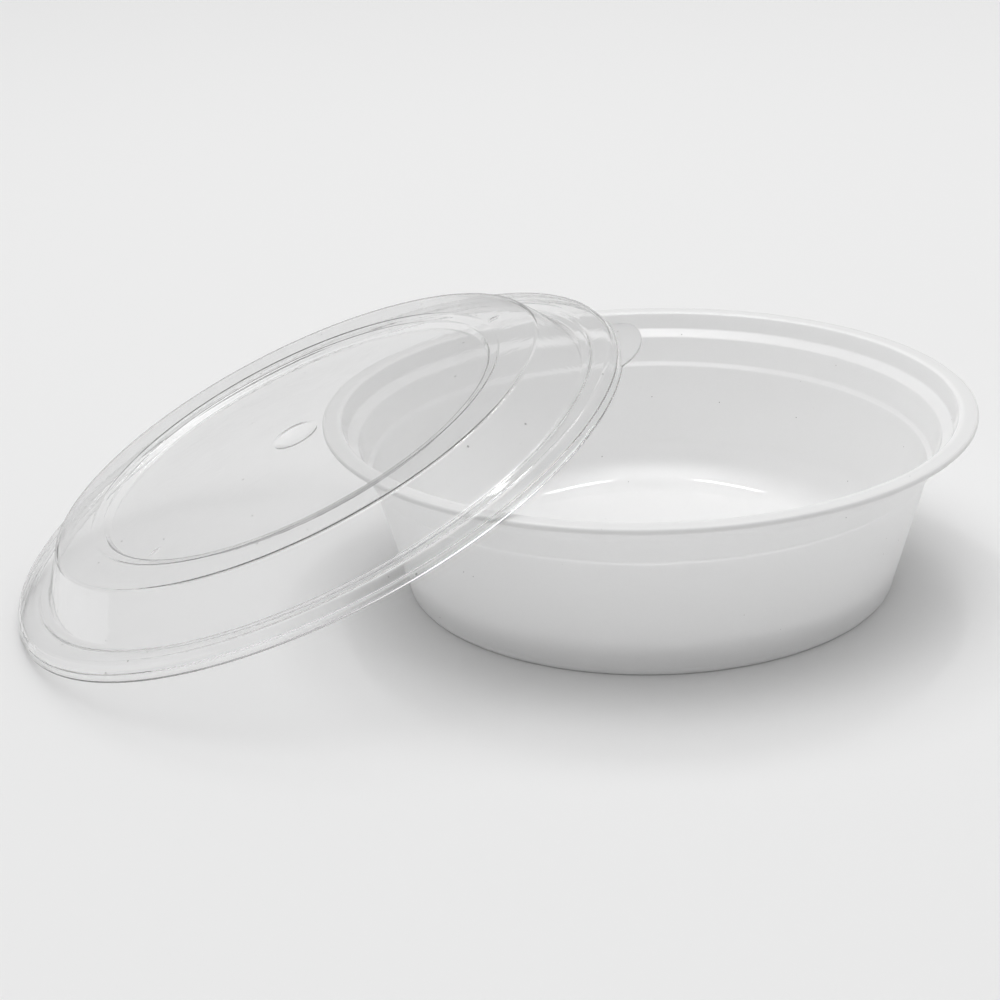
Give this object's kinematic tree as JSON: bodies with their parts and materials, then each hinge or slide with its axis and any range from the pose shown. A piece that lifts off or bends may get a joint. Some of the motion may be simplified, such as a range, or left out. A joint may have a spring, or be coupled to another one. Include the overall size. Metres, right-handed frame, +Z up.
{
  "type": "round plastic bowl with clear domed lid",
  "caption": "Shallow round white plastic bowl with stepped rim ledges, for holding game stones, and a clear domed lid with pull tab leaning on its rim.",
  "frame": {"origin": "middle of the bowl's flat base, on the surface that it stands on", "axes": "+Z up along the bowl's axis; the lid leans down towards -X; -Y is the side that the bowl and lid are seen from"},
  "size_m": [0.2736, 0.1962, 0.0773],
  "materials": {
    "white_plastic": "injection-moulded white polypropylene, satin gloss with faint specks",
    "clear_plastic": "thermoformed clear sheet, glossy, with moulding lines"
  },
  "bodies": {
    "bowl": {"bowl": "white_plastic"},
    "lid": {"lid": "clear_plastic"}
  },
  "joints": [
    {"name": "lid_lift", "type": "slide", "parent": "bowl", "child": "lid", "axis": [0, 0, 1], "range_m": [0, 0.08]}
  ]
}
